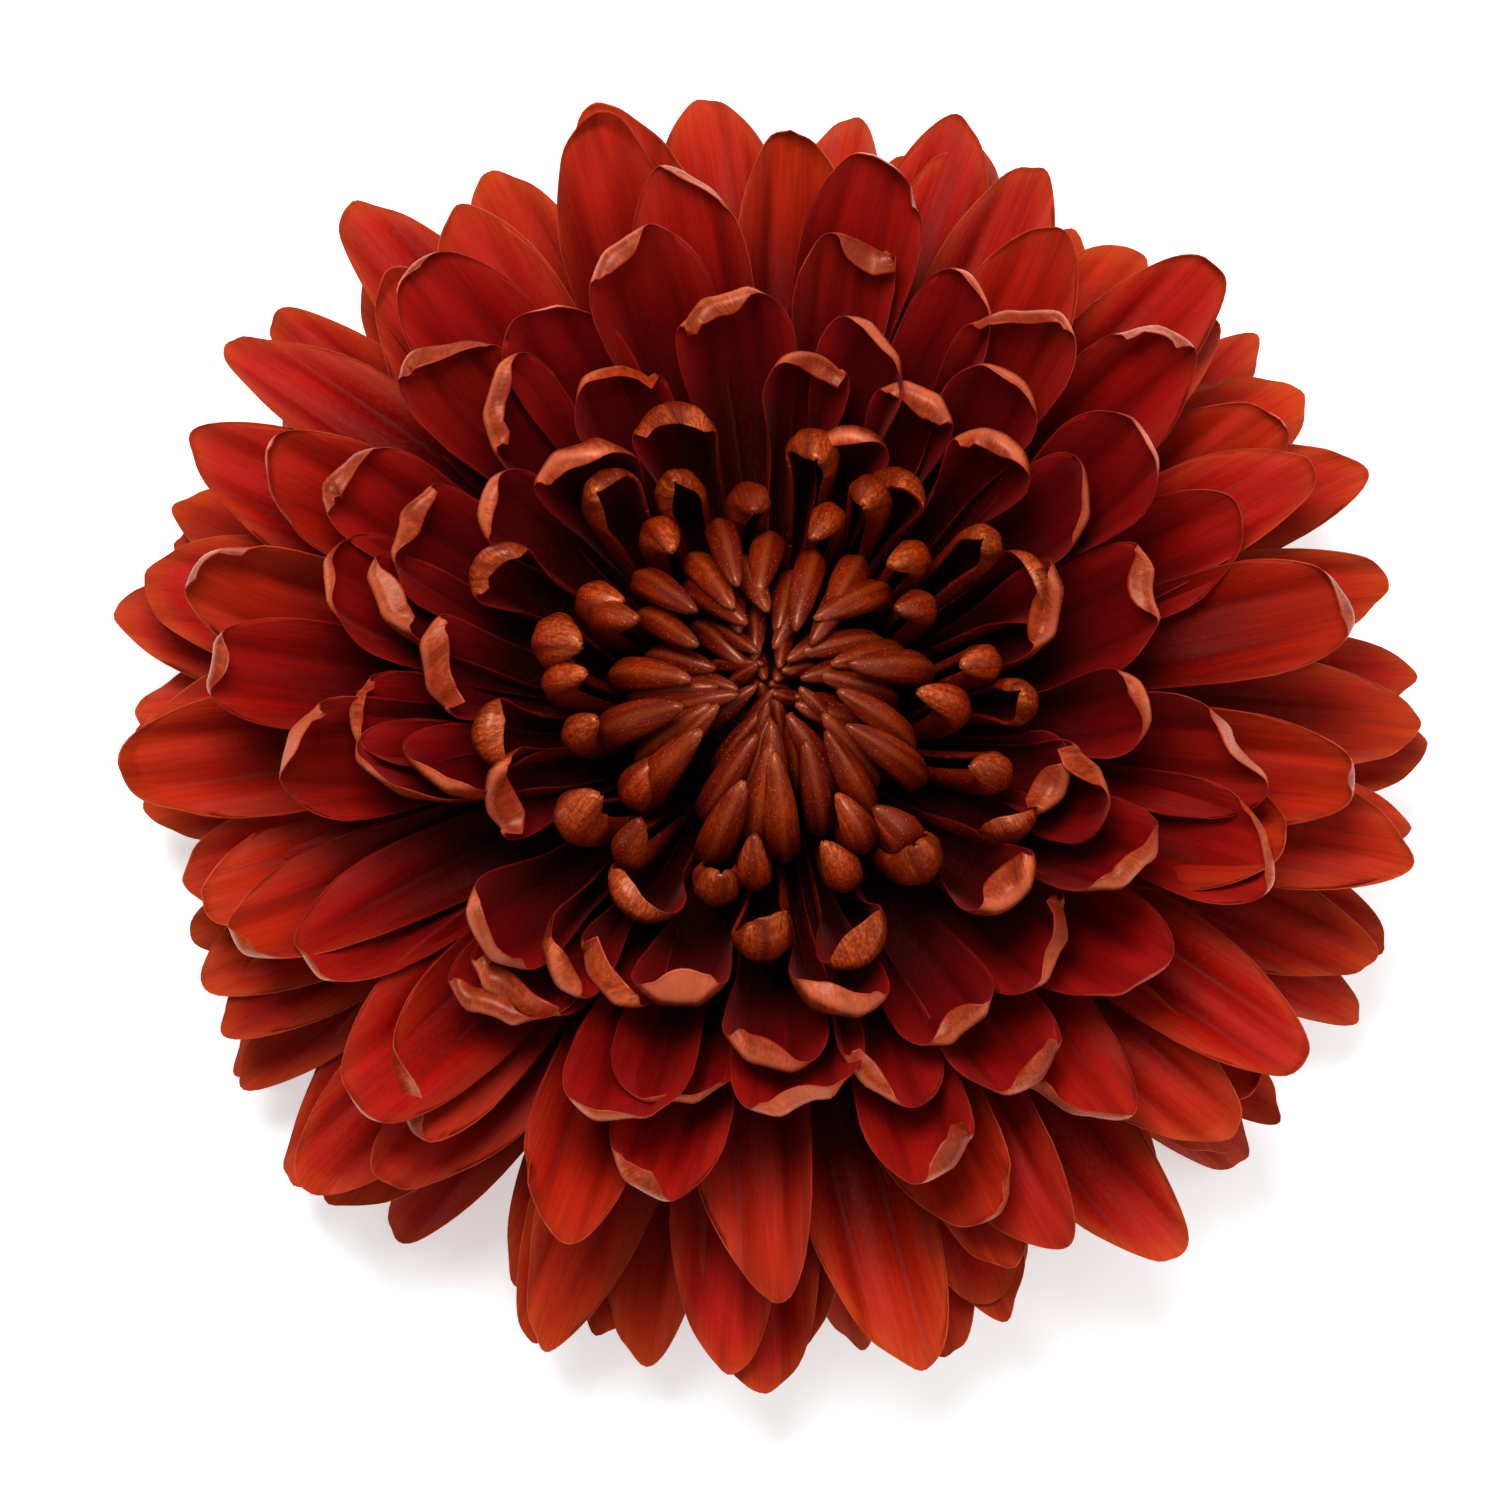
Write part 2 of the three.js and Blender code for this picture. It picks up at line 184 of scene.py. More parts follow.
# The camera looks down at the photograph's angle at a point beside the axis, in metres
CAMERA_LENS = 200
CAMERA_ELEVATION = 80
CAMERA_DISTANCE = 0.824
TARGET_OFFSET = (-0.0017, -0.0045, 0.030)
# place, power in watts and size of each soft light
LIGHTS = {"key": ((-0.1, 0.24, 0.75), 6.6, 0.36), "fill": ((0.45, -0.1, 0.6), 1.4, 0.6)}
LIGHT_TARGET = (0, 0, 0.02)
WORLD_LIGHT = 0.29


def chance(rank, draw, most=1.0):
    """The same number on every run for a rank and a draw, between minus most and plus most."""
    wave = np.sin(rank * 12.9898 + draw * 78.233) * 43758.5453
    return most * (2 * (wave - np.floor(wave)) - 1)


def smooth(start, span, value):
    """Eases from 0 at the start to 1 a span further, or a span back where it is negative."""
    share = np.clip((value - start) / span, 0, 1)
    return share * share * (3 - 2 * share)


def floret_forms(ranks):
    """The form of the florets of these ranks, each value in an array of florets by 1 by 1."""
    ranks = np.asarray(ranks, float)
    form = {name: np.interp(ranks, FORM_RANKS, values) for name, values in FORMS.items()}
    spread = {name: np.interp(ranks, FORM_RANKS, values) for name, values in SPREADS.items()}
    form["rank"] = ranks
    form["azimuth"] = ranks * GOLDEN_ANGLE + np.radians(chance(ranks, 1, spread["azimuth"]))
    form["length"] *= 1 + chance(ranks, 2, spread["length"])
    form["width"] *= 1 + chance(ranks, 3, WIDTH_SPREAD)
    for draw, name in ((4, "rise"), (5, "arch"), (6, "hook")):
        form[name] = np.radians(form[name] + chance(ranks, draw, spread[name]))
    form["twist"] = np.radians(chance(ranks, 7, spread["twist"]))
    form["bend"] = chance(ranks, 8, spread["bend"])
    form["lip_middle"] = chance(ranks, 9, spread["lip_middle"])
    form["phase"] = chance(ranks, 10, math.pi)
    form["lip_depth"] *= 1 + chance(ranks, 11, LIP_DEPTH_SPREAD)
    form["lean"] = chance(ranks, 12, LEAN_SPREAD)
    lip_part = LIP_ANGLE_PART + chance(ranks, 13, LIP_ANGLE_SPREAD)
    form["apex"] = chance(ranks, 14, APEX_SPREAD)
    form["channel"] = np.radians(form["channel"] * (1 + chance(ranks, 15, spread["channel"])))
    form["lip_span"] = LIP_SPAN + chance(ranks, 16, LIP_SPAN_SPREAD)
    # only a few ranks are between closed and open, and the closed ones have no lip
    form["closed"] = smooth(0.3, 0.15, form["closed"])
    form["lip_angle"] = np.radians(form["lip_angle"] * lip_part) * (1 - form["closed"])
    form["droop"] = np.zeros_like(ranks)
    form = {name: values[:, None, None] for name, values in form.items()}
    follow_midribs(form)
    return form


def bract_forms():
    """The form of the bracts about the cup, as floret_forms gives it."""
    rows = np.repeat(np.arange(len(BRACT_ROWS["length"])), BRACTS_A_ROW)
    ranks = np.arange(len(rows))
    form = {name: np.asarray(values, float)[rows] for name, values in BRACT_ROWS.items()}
    form.update({name: np.full(len(rows), value) for name, value in BRACT_SHAPE.items()})
    form["rank"] = ranks.astype(float)
    form["azimuth"] = (ranks % BRACTS_A_ROW + rows / 3) / BRACTS_A_ROW * 2 * math.pi
    form["length"] *= 1 + chance(ranks, 2, BRACT_LENGTH_SPREAD)
    form["width"] *= 1 + chance(ranks, 3, WIDTH_SPREAD)
    form["phase"] = chance(ranks, 10, math.pi)
    for name in ("rise", "arch", "channel"):
        form[name] = np.radians(form[name])
    form = {name: values[:, None, None] for name, values in form.items()}
    follow_midribs(form)
    return form


def follow_midribs(form):
    """Follows each midrib from its root in steps: its slope, radius and height at each of them."""
    share = np.linspace(0, MIDRIB_REACH, MIDRIB_STEPS + 1)
    hooked = form["hook"] * smooth(form["hook_start"], 1 - form["hook_start"], share)
    slope = (form["rise"] + form["arch"] * share + hooked)[:, 0]
    middle = (slope[:, 1:] + slope[:, :-1]) / 2
    step = form["length"][:, 0] * (share[1] - share[0])
    start = np.zeros((len(slope), 1))
    out = np.concatenate([start, np.cumsum(np.cos(middle) * step, axis=1)], axis=1)
    up = np.concatenate([start, np.cumsum(np.sin(middle) * step, axis=1)], axis=1)
    form["slopes"] = slope
    form["radii"] = form["root_radius"][:, 0] + out
    form["heights"] = form["root_height"][:, 0] + up


def midrib_at(form, share):
    """Slope, radius and height of the midribs at these shares."""
    place = np.clip(share / MIDRIB_REACH, 0, 1) * MIDRIB_STEPS
    before = np.minimum(place.astype(int), MIDRIB_STEPS - 1)
    past = place - before
    found = []
    for name in ("slopes", "radii", "heights"):
        table = form[name]
        flat = before.reshape(len(table), -1)
        low = np.take_along_axis(table, flat, 1).reshape(before.shape)
        high = np.take_along_axis(table, flat + 1, 1).reshape(before.shape)
        found.append(low + (high - low) * past)
    return found


def half_width(form, share):
    """Half of the blade's width. A closed one also tapers to its nib."""
    widest = form["widest"]
    grown = np.sin(math.pi / 2 * np.clip(share / widest, 0, 1))
    swell = form["claw"] + (1 - form["claw"]) * grown
    past = np.clip((share - widest) / (1 - widest), 0, 1)
    taper = np.maximum((1 - past ** form["fullness"]) ** (1 / form["roundness"]), NIB_WIDTH)
    return form["width"] / 2 * swell * (1 + form["closed"] * (taper - 1))


def base_surface(form, side, share):
    """The blade before its tip rolls over. side is millimetres from the midrib."""
    half = half_width(form, share)
    v = side / half
    # the blade curls up across, with ribs if it is closed, and furrows and waves if it is open
    toward_tip = smooth(TIP_CHANNEL_FROM, TIP_CHANNEL_SPAN, share)
    channel = form["channel"] * (1 + (form["tip_channel"] - 1) * toward_tip)
    curl = half / channel
    ribbed = curl * (1 + form["ribs"] * (np.cos(2 * math.pi * v / RIB_PITCH) - 1))
    across = ribbed * np.sin(channel * v)
    up = curl - ribbed * np.cos(channel * v)
    openness = np.clip((TUBE_CHANNEL - channel) / (TUBE_CHANNEL - OPEN_CHANNEL), 0, 1)
    furrow = np.exp(-((np.abs(v) - FURROW_PLACE) / FURROW_WIDTH) ** 2) * (1 - share ** 8)
    up = up - half * FURROW_DEPTH * furrow * openness
    wave = np.sin(share * WAVE_TURN + form["phase"] + np.sign(v) * WAVE_LAG)
    wave = wave * np.minimum(np.abs(v), 1.2) ** 3 * np.sin(math.pi * np.clip(share, 0, 1))
    up = up + half * WAVE_DEPTH * wave * openness
    up = up + half * form["lean"] * v * np.abs(v) * openness * share
    # it twists about the midrib, which carries it out, up and to one side
    slope, radius, height = midrib_at(form, share)
    turn = form["twist"] * share ** 2
    sideways = across * np.cos(turn) - up * np.sin(turn)
    lift = across * np.sin(turn) + up * np.cos(turn)
    out = radius - lift * np.sin(slope)
    along = form["bend"] * form["length"] * share ** 2 + sideways
    z = height + lift * np.cos(slope) - form["droop"] * share ** 2
    cosine, sine = np.cos(form["azimuth"]), np.sin(form["azimuth"])
    x, y = out * cosine - along * sine, out * sine + along * cosine
    return np.stack(np.broadcast_arrays(x, y, z), axis=-1)


def tip_outline(form, v):
    """Share at which each line along the blade ends."""
    within = 1 - v ** 2
    off_apex = np.abs(v - form["apex"] * np.maximum(within, 0))
    tip = np.maximum(1 - off_apex ** form["roundness"], 0) ** (1 / form["fullness"])
    full = form["widest"] + (1 - form["widest"]) * tip
    teeth = np.exp(-(v / TOOTH_WIDTH) ** 2) + 0.8 * np.sin(10 * v + form["phase"]) * within
    notch = form["notch"] / form["length"] * teeth
    lobes = LOBE_DEPTH * np.sin(3 * v + form["phase"]) * within
    return 1 + (1 - form["closed"]) * (full - notch + lobes - 1)


def lip_fold(form, v):
    """Share at which each line along the blade folds over: a crescent in from the blade's end."""
    ends = tip_outline(form, v)
    place = np.clip((v - form["lip_middle"]) / form["lip_span"], -1, 1)
    reach = (1 - place ** 2) ** 2 * smooth(1, -0.4, np.abs(v))
    depth = np.hypot(form["lip_depth"] / form["length"] * reach, LEAST_LIP)
    return np.where(form["lip_angle"] > LEAST_ROLL, ends - depth, PLAIN_FOLD * ends)


def fold_direction(form, v):
    """Which way the fold runs at each line: its parts across and along the blade."""
    step = 0.02
    ends = []
    for at in (v + step, v - step):
        fold = lip_fold(form, at)
        ends.append((at * half_width(form, fold), fold * form["length"]))
    across, along = ends[0][0] - ends[1][0], ends[0][1] - ends[1][1]
    size = np.hypot(across, along)
    return across / size, along / size


def unit(vectors):
    return vectors / np.maximum(np.linalg.norm(vectors, axis=-1, keepdims=True), 1e-9)


def fold_axes(form, side, share, across_part, along_part):
    """Unit vectors at the fold: ahead over it, out of the surface, and along the fold itself."""
    side_step, share_step = 0.05, 0.002
    # taken nearer to the midrib than the fold is, so that a lip on a curled blade stays whole
    calm = side * ROLL_TURN
    right, left = (base_surface(form, calm + step, share) for step in (side_step, -side_step))
    front, back = (base_surface(form, calm, share + step) for step in (share_step, -share_step))
    across, ahead = unit(right - left), unit(front - back)
    normal = unit(np.cross(ahead, across))
    forward = unit(ahead * across_part[..., None] - across * along_part[..., None])
    sideways = unit(across * across_part[..., None] + ahead * along_part[..., None])
    return forward, normal, sideways


def blade_grid(form, rows, columns):
    """Middle surface of the blades, florets by rows by columns, and what their colours need.

    rows run from 0 at the root to 1 at the fold and 2 at the end, and columns from -1 to 1.
    """
    rows = np.asarray(rows)[None, :, None]
    v = np.asarray(columns)[None, None, :]
    ends, fold = tip_outline(form, v), lip_fold(form, v)
    share = np.minimum(rows, 1) * fold + np.maximum(rows - 1, 0) * (ends - fold)
    half = half_width(form, share)
    side = v * half
    # what is past the fold of a lip rolls over about it
    lipped = form["lip_angle"] > LEAST_ROLL
    foot_share = np.where(lipped, np.minimum(share, fold), share)
    foot_side = v * half_width(form, foot_share)
    across_part, along_part = fold_direction(form, v)
    past = (share - foot_share) * form["length"] * across_part
    slide = (share - foot_share) * form["length"] * along_part
    forward, normal, sideways = fold_axes(form, foot_side, foot_share, across_part, along_part)
    radius = form["lip_radius"]
    sway = 1 + SWAY_DEPTH * np.sin(side * SWAY_TURN + form["phase"])
    angle = np.minimum(past / radius, form["lip_angle"] * sway)
    rest = past - angle * radius
    ahead_by = radius * np.sin(angle) + rest * np.cos(angle)
    up_by = radius * (1 - np.cos(angle)) + rest * np.sin(angle)
    foot = base_surface(form, foot_side, foot_share) + sideways * slide[..., None]
    points = foot + forward * ahead_by[..., None] + normal * up_by[..., None]
    edge = np.minimum((1 - np.abs(v)) * half, (ends - share) * form["length"])
    # a closed floret shows no edge
    edge = edge * (1 - form["closed"]) + FAR_FROM_EDGE * form["closed"]
    data = {
        "along": share,
        "across": v,
        "side_mm": side,
        "along_mm": share * form["length"],
        "edge_mm": edge,
        "roll": np.clip(angle / FULL_ROLL, 0, 1),
        "chance": (chance(form["rank"], 20) + 1) / 2,
        "rank": form["rank"] / FLORET_COUNT,
    }
    return points, data


def settle(form):
    """Droops the last florets until they meet the surface, and keeps the others clear of it."""
    tip, near_tip = 0 * form["rank"] + 1, 0 * form["rank"] + 0.97
    beside = 0.35 * form["width"] / 2
    middle = base_surface(form, 0 * form["rank"], tip)
    left, right = (base_surface(form, side, near_tip) for side in (-beside, beside))
    lowest = np.minimum(np.minimum(middle, left), right)[..., 2]
    resting = form["rank"] >= FLORET_COUNT - RESTING_COUNT
    clear = np.minimum(lowest - RESTING_CLEARANCE, 0)
    form["droop"] = np.where(resting, lowest - RESTING_HEIGHT, clear)


def grid_normals(points):
    return unit(np.cross(np.gradient(points, axis=1), np.gradient(points, axis=2)))


def blades_mesh(name, form, rows, columns, thickness, origin):
    """One object of closed thin blades: an upper and a lower skin with a rim between."""
    points, data = blade_grid(form, rows, columns)
    thinning = EDGE_THICKNESS + (1 - EDGE_THICKNESS) * smooth(0, EDGE_REACH, data["edge_mm"])
    offset = grid_normals(points) * (thickness / 2 * thinning)[..., None]
    florets, r, c = points.shape[:3]
    verts = np.stack([points + offset, points - offset], axis=1).reshape(-1, 3)
    i, j = np.meshgrid(np.arange(r - 1), np.arange(c - 1), indexing="ij")
    corner = (i * c + j).ravel()
    upper = np.stack([corner, corner + c, corner + c + 1, corner + 1], axis=1)
    lower = upper[:, ::-1] + r * c
    loop = np.concatenate([
        np.arange(c - 1),
        np.arange(r - 1) * c + c - 1,
        (r - 1) * c + np.arange(c - 1, 0, -1),
        np.arange(r - 1, 0, -1) * c,
    ])
    following = np.roll(loop, -1)
    rim = np.stack([loop, following, following + r * c, loop + r * c], axis=1)
    one = np.concatenate([upper, lower, rim])
    first_vertex = (np.arange(florets) * 2 * r * c)[:, None, None]
    faces = (one[None] + first_vertex).reshape(-1, 4)
    values = {}
    for key, part in data.items():
        skin = np.broadcast_to(part, points.shape[:3])[:, None]
        values[key] = np.broadcast_to(skin, (florets, 2, r, c))
    face = np.arange(len(one))
    on_lower = (face >= len(upper)) & (face < 2 * len(upper))
    # a closed floret's rim has the look of its outside too
    on_closed_rim = (form["closed"][:, 0] > 0.5) & (face >= 2 * len(upper))
    return mesh_object(name, verts, faces, values, (on_lower | on_closed_rim).ravel(), origin)


def mesh_object(name, verts, faces, values, outside, origin):
    """A smooth object of four-sided faces, with its values as attributes.

    The faces that are outside take the second material, and the others the first.
    """
    mesh = bpy.data.meshes.new(name)
    mesh.vertices.add(len(verts))
    mesh.vertices.foreach_set("co", ((verts + origin) * MM).astype(np.float32).ravel())
    mesh.loops.add(faces.size)
    mesh.loops.foreach_set("vertex_index", faces.astype(np.int32).ravel())
    mesh.polygons.add(len(faces))
    mesh.polygons.foreach_set("loop_start", np.arange(0, faces.size, 4, dtype=np.int32))
    mesh.polygons.foreach_set("loop_total", np.full(len(faces), 4, dtype=np.int32))
    mesh.update()
    mesh.validate()
    mesh.polygons.foreach_set("use_smooth", np.ones(len(faces), dtype=bool))
    mesh.polygons.foreach_set("material_index", outside.astype(np.int32))
    for key, part in values.items():
        attribute = mesh.attributes.new(key, "FLOAT", "POINT")
        attribute.data.foreach_set("value", np.ascontiguousarray(part, dtype=np.float32).ravel())
    piece = bpy.data.objects.new(name, mesh)
    bpy.context.scene.collection.objects.link(piece)
    return piece


def path_along(outline):
    """Distance along an outline at each of its points."""
    steps = np.linalg.norm(np.diff(outline, axis=0), axis=1)
    return np.concatenate([[0], np.cumsum(steps)])


def rounded(outline, count):
    """The same outline with its corners eased and more points along it."""
    outline = np.asarray(outline, float)
    path = path_along(outline)
    even = np.linspace(0, path[-1], count)
    points = np.stack([np.interp(even, path, column) for column in outline.T], axis=1)
    eased = points.copy()
    for _ in range(3):
        eased[1:-1] = (eased[:-2] + 2 * eased[1:-1] + eased[2:]) / 4
    return eased


def turned_mesh(name, outline, sides, relief, origin):
    """Closed skin turned about the axis from an outline of (radius, height), top to bottom.

    relief gives the radius as a part of the outline's at each turn and distance along it.
    """
    path = path_along(outline)
    turn = np.arange(sides) / sides * 2 * math.pi
    rings = outline[1:-1]
    along = path[1:-1, None]
    radius = rings[:, :1] * relief(turn[None, :], along)
    height = np.broadcast_to(rings[:, 1:], radius.shape)
    skin = np.stack([radius * np.cos(turn), radius * np.sin(turn), height], axis=-1)
    poles = np.array([[0, 0, outline[0, 1]], [0, 0, outline[-1, 1]]])
    verts = np.concatenate([skin.reshape(-1, 3), poles])
    top_pole, bottom_pole = len(verts) - 2, len(verts) - 1
    i, j = np.meshgrid(np.arange(len(rings) - 1), np.arange(sides), indexing="ij")
    here, after = i * sides + j, i * sides + (j + 1) % sides
    walls = np.stack([here, here + sides, after + sides, after], axis=-1)
    even = np.arange(0, sides, 2)
    two_on = (even + 2) % sides
    last = (len(rings) - 1) * sides
    top = np.stack([np.full_like(even, top_pole), even, even + 1, two_on], axis=-1)
    below = [np.full_like(even, bottom_pole), last + two_on, last + even + 1, last + even]
    bottom = np.stack(below, axis=-1)
    faces = np.concatenate([walls.reshape(-1, 4), top, bottom])
    values = {
        "turn_mm": np.append((turn * rings[:, :1]).ravel(), [0, 0]),
        "along_mm": np.append(np.broadcast_to(along, radius.shape).ravel(), [0, path[-1]]),
        "radius_mm": np.append(radius.ravel(), [0, 0]),
    }
    return mesh_object(name, verts, faces, values, np.zeros(len(faces), dtype=bool), origin)


def linear(red, green, blue):
    """Colour given as it looks on a screen, 0 to 255, as the shaders take it."""
    return tuple((value / 255) ** 2.2 for value in (red, green, blue)) + (1.0,)


class Shader:
    """A material, and small helpers that wire its nodes."""

    def __init__(self, name, roughness, specular, tint=(1, 1, 1, 1)):
        self.material = bpy.data.materials.new(name)
        self.material.use_nodes = True
        self.nodes = self.material.node_tree.nodes
        self.links = self.material.node_tree.links
        self.surface = self.nodes["Principled BSDF"]
        self.surface.inputs["Roughness"].default_value = roughness
        self.surface.inputs["Specular IOR Level"].default_value = specular
        self.surface.inputs["Specular Tint"].default_value = tint

    def put(self, socket, value):
        if isinstance(value, bpy.types.NodeSocket):
            self.links.new(value, socket)
        else:
            socket.default_value = value

    def attribute(self, name):
        node = self.nodes.new("ShaderNodeAttribute")
        node.attribute_name = name
        return node.outputs["Fac"]

    def math(self, operation, first, second=0.0):
        node = self.nodes.new("ShaderNodeMath")
        node.operation = operation
        self.put(node.inputs[0], first)
        self.put(node.inputs[1], second)
        return node.outputs[0]

    def times(self, first, second):
        return self.math("MULTIPLY", first, second)

    def centre_distance(self):
        """How far across the blade, from 0 at the midrib to 1 at either edge."""
        return self.math("ABSOLUTE", self.attribute("across"))

    def fade(self, value, start, end, low=0.0, high=1.0):
        """Goes smoothly from low at the start to high at the end."""
        node = self.nodes.new("ShaderNodeMapRange")
        node.interpolation_type = "SMOOTHSTEP"
        self.put(node.inputs["Value"], value)
        limits = {"From Min": start, "From Max": end, "To Min": low, "To Max": high}
        for key, number in limits.items():
            node.inputs[key].default_value = number
        return node.outputs["Result"]

    def mix(self, part, first, second, blend="MIX"):
        """The first colour, with this part of the second mixed in."""
        node = self.nodes.new("ShaderNodeMix")
        node.data_type = "RGBA"
        node.blend_type = blend
        # its sockets for colours have the names of those for numbers, so they go by their place
        self.put(node.inputs[0], part)
        self.put(node.inputs[6], first)
        self.put(node.inputs[7], second)
        return node.outputs[2]

    def ramp(self, value, stops):
        """Colours at places of the value, each given as linear takes it."""
        node = self.nodes.new("ShaderNodeValToRGB")
        self.put(node.inputs["Fac"], value)
        elements = node.color_ramp.elements
        while len(elements) < len(stops):
            elements.new(0.5)
        for element, (position, colour) in zip(elements, stops):
            element.position = position
            element.color = linear(*colour)
        return node.outputs["Color"]

    def place(self, x, y, z):
        node = self.nodes.new("ShaderNodeCombineXYZ")
        for socket, value in zip(node.inputs, (x, y, z)):
            self.put(socket, value)
        return node.outputs[0]

    def noise(self, place, scale, detail=2.0, roughness=0.5):
        node = self.nodes.new("ShaderNodeTexNoise")
        self.links.new(place, node.inputs["Vector"])
        node.inputs["Scale"].default_value = scale
        node.inputs["Detail"].default_value = detail
        node.inputs["Roughness"].default_value = roughness
        return node.outputs["Fac"]

    def specks(self, place, scale):
        node = self.nodes.new("ShaderNodeTexVoronoi")
        self.links.new(place, node.inputs["Vector"])
        node.inputs["Scale"].default_value = scale
        return node.outputs["Distance"]

    def finish(self, colour, height, distance, strength):
        """Gives the surface its colour and a bump of this height."""
        node = self.nodes.new("ShaderNodeBump")
        node.inputs["Distance"].default_value = distance
        node.inputs["Strength"].default_value = strength
        self.links.new(height, node.inputs["Height"])
        self.links.new(node.outputs[0], self.surface.inputs["Normal"])
        self.links.new(colour, self.surface.inputs["Base Color"])
        return self.material


def floret_marks(shade):
    """What both faces of a floret share: bands, veins and grain along it, and where specks go."""
    side, along_mm = shade.attribute("side_mm"), shade.attribute("along_mm")
    seed = shade.times(shade.attribute("chance"), 91.0)
    marks = []
    # scale across and along the floret, detail and roughness of each
    for across, ahead, detail, roughness in (
        (0.5, 0.06, 1.0, 0.4), (3.2, 0.16, 2.0, 0.5), (3.0, 1.6, 3.0, 0.65),
    ):
        place = shade.place(shade.times(side, across), shade.times(along_mm, ahead), seed)
        marks.append(shade.noise(place, 1.0, detail, roughness))
    return *marks, shade.place(side, along_mm, seed)


def velvet_material():
    """Inner face: dark red velvet, lighter and warmer to the edge, with two long creases, and
    painted shade toward the root, in the creases and down the middle, and painted light at the
    margin and its thin edge.
    """
    shade = Shader("floret_velvet", 0.55, 0.14, (1.0, 0.5, 0.45, 1))
    shade.surface.inputs["Sheen Weight"].default_value = 0.08
    shade.surface.inputs["Sheen Roughness"].default_value = 0.4
    shade.surface.inputs["Sheen Tint"].default_value = (1.0, 0.25, 0.22, 1)
    along, edge = shade.attribute("along"), shade.attribute("edge_mm")
    across = shade.centre_distance()
    luck, rank = shade.attribute("chance"), shade.attribute("rank")
    band, vein, grain, _ = floret_marks(shade)
    # maroon florets inside, and red or orange ones outside, each darker toward its root: partly
    # their colour and partly painted shade where the florets above and the deep cups shade them
    inner = shade.ramp(along, [
        (0.0, (26, 1, 2)), (0.5, (54, 3, 6)), (0.8, (108, 9, 14)), (1.0, (144, 20, 24)),
    ])
    cool = shade.ramp(along, [
        (0.4, (44, 3, 4)), (0.66, (116, 9, 8)), (0.82, (160, 20, 14)), (1.0, (178, 36, 26)),
    ])
    warm = shade.ramp(along, [
        (0.4, (46, 4, 2)), (0.66, (120, 14, 6)), (0.82, (166, 34, 14)), (1.0, (182, 50, 22)),
    ])
    outer = shade.mix(shade.fade(luck, 0.25, 0.75), cool, warm)
    outer = shade.mix(shade.fade(luck, 0.86, 0.9, 0.0, 0.5), outer, linear(186, 34, 34))
    front = shade.mix(shade.fade(rank, 0.42, 0.66), inner, outer)
    # painted light: toward the edge the colour turns lighter and warmer, partly the floret's own
    # colour and partly light shining through the thin margin
    glow = shade.mix(shade.fade(rank, 0.5, 0.8), linear(132, 24, 20), linear(184, 70, 28))
    painted_margin_light = shade.times(shade.fade(edge, 0.0, 3.6, 1.0, 0.0), shade.fade(along, 0.55, 0.85))
    front = shade.mix(shade.times(painted_margin_light, 0.6), front, glow)
    # bands and veins are darker marks, the creases and the middle are darkened with painted shade,
    # and the grain is lighter
    dark = shade.mix(1.0, front, (0.36, 0.2, 0.24, 1), "MULTIPLY")
    front = shade.mix(shade.fade(band, 0.42, 0.7, 0.0, 0.45), front, dark)
    front = shade.mix(shade.fade(vein, 0.38, 0.68, 0.0, 0.26), front, dark)
    crease_shade = shade.times(shade.fade(across, 0.2, 0.34), shade.fade(across, 0.34, 0.5, 1.0, 0.0))
    crease_shade = shade.times(crease_shade, shade.fade(along, 0.76, 0.97, 0.6, 0.0))
    front = shade.mix(crease_shade, front, dark)
    # painted shade down the middle of the blade, where its channel is deepest
    middle = shade.fade(across, 0.0, 0.8, 0.5, 0.0)
    front = shade.mix(shade.times(middle, shade.fade(along, 0.6, 0.92, 1.0, 0.0)), front, dark)
    front = shade.mix(shade.fade(grain, 0.45, 0.75, 0.0, 0.14), front, glow)
    # a painted highlight: a thin pale line at the edge, where it catches the light, which comes
    # and goes
    rim = shade.times(shade.fade(edge, 0.02, 0.24, 1.0, 0.0), shade.fade(along, 0.66, 0.9))
    rim = shade.times(rim, shade.fade(band, 0.3, 0.6, 0.6, 0.1))
    rim = shade.times(rim, shade.fade(luck, 0.1, 0.9, 0.3, 1.0))
    rim_highlight_colour = shade.mix(shade.fade(rank, 0.35, 0.6), linear(140, 38, 30), linear(200, 88, 50))
    front = shade.mix(rim, front, rim_highlight_colour)
    relief = shade.math("ADD", shade.times(vein, 0.6), shade.times(grain, 0.25))
    return shade.finish(front, relief, 0.0002, 0.45)


def mottled(shade, colour, strength):
    """Darker bands, grain and veins and fine bright specks over a bronze colour."""
    band, vein, grain, spot_place = floret_marks(shade)
    for mark, start, end, part, over in (
        (band, 0.42, 0.66, 0.6, (70, 12, 5)),
        (grain, 0.35, 0.62, 0.6, (112, 24, 8)),
        (vein, 0.42, 0.68, 0.3, (66, 13, 4)),
    ):
        faded = shade.fade(mark, start, end, 0.0, part * strength)
        colour = shade.mix(faded, colour, linear(*over))
    spots = shade.specks(spot_place, 2.4)
    colour = shade.mix(shade.fade(spots, 0.06, 0.2, 0.5, 0.0), colour, linear(226, 128, 76))
    return colour, shade.math("ADD", shade.times(vein, 0.5), shade.times(grain, 0.4))


